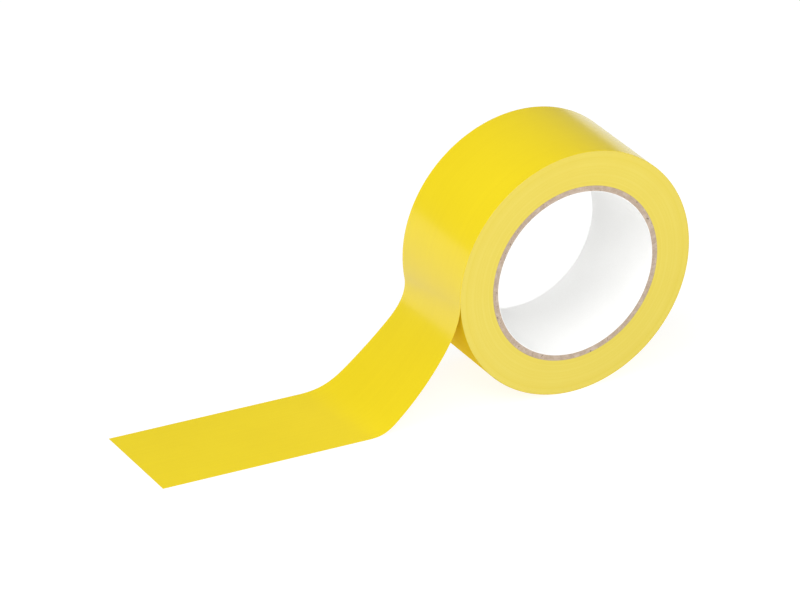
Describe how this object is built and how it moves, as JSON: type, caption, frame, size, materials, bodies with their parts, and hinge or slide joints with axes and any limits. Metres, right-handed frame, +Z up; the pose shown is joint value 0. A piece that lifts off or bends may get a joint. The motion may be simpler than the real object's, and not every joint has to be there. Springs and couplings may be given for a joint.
{
  "type": "tape roll",
  "caption": "Roll of wide yellow PVC tape on a paperboard core, with its free tail peeled down and laid flat on the surface it stands on.",
  "frame": {"origin": "centre of the core bore at the middle of the tape's width", "axes": "+Y along the roll's axis, +Z up, and the free tail runs out along the surface towards -X"},
  "size_m": [0.2549, 0.05, 0.1138],
  "materials": {
    "liner_paper": "smooth white paper",
    "core_board": "grey-brown recycled board, cut edge",
    "kraft_paper": "brown kraft paper",
    "wound_tape": "satin slit edges of the wound film",
    "pvc_film": "glossy yellow PVC film",
    "adhesive": "tacky clear adhesive over yellow film"
  },
  "bodies": {
    "last_turn": {"outer_turn": "pvc_film"},
    "roll": {"core_inner_liner": "liner_paper", "core_board_ply_1": "core_board", "core_board_ply_2": "core_board", "core_board_ply_3": "core_board", "core_board_ply_4": "core_board", "core_board_ply_5": "core_board", "core_board_ply_6": "core_board", "core_outer_liner": "kraft_paper", "wound_tape": "wound_tape"},
    "tail_slope": {"tail_slope_film": "pvc_film", "tail_slope_adhesive": "adhesive"},
    "tail_floor": {"tail_floor_film": "pvc_film", "tail_floor_adhesive": "adhesive"},
    "tail_end": {"tail_end_film": "pvc_film", "tail_end_adhesive": "adhesive"}
  },
  "joints": [
    {"name": "roll_spin", "type": "hinge", "parent": "last_turn", "child": "roll", "pos_m": [0, 0, 0], "axis": [0, 1, 0], "continuous": true},
    {"name": "tail_peel", "type": "hinge", "parent": "last_turn", "child": "tail_slope", "pos_m": [-0.0563, 0, -0.00892], "axis": [0, 1, 0], "range_deg": [0, 90]},
    {"name": "tail_bend", "type": "hinge", "parent": "tail_slope", "child": "tail_floor", "pos_m": [-0.09221, 0, -0.05524], "axis": [0, 1, 0], "range_deg": [0, 45]},
    {"name": "tail_lift", "type": "hinge", "parent": "tail_floor", "child": "tail_end", "pos_m": [-0.15799, 0, -0.05683], "axis": [0, 1, 0], "range_deg": [0, 45]}
  ]
}
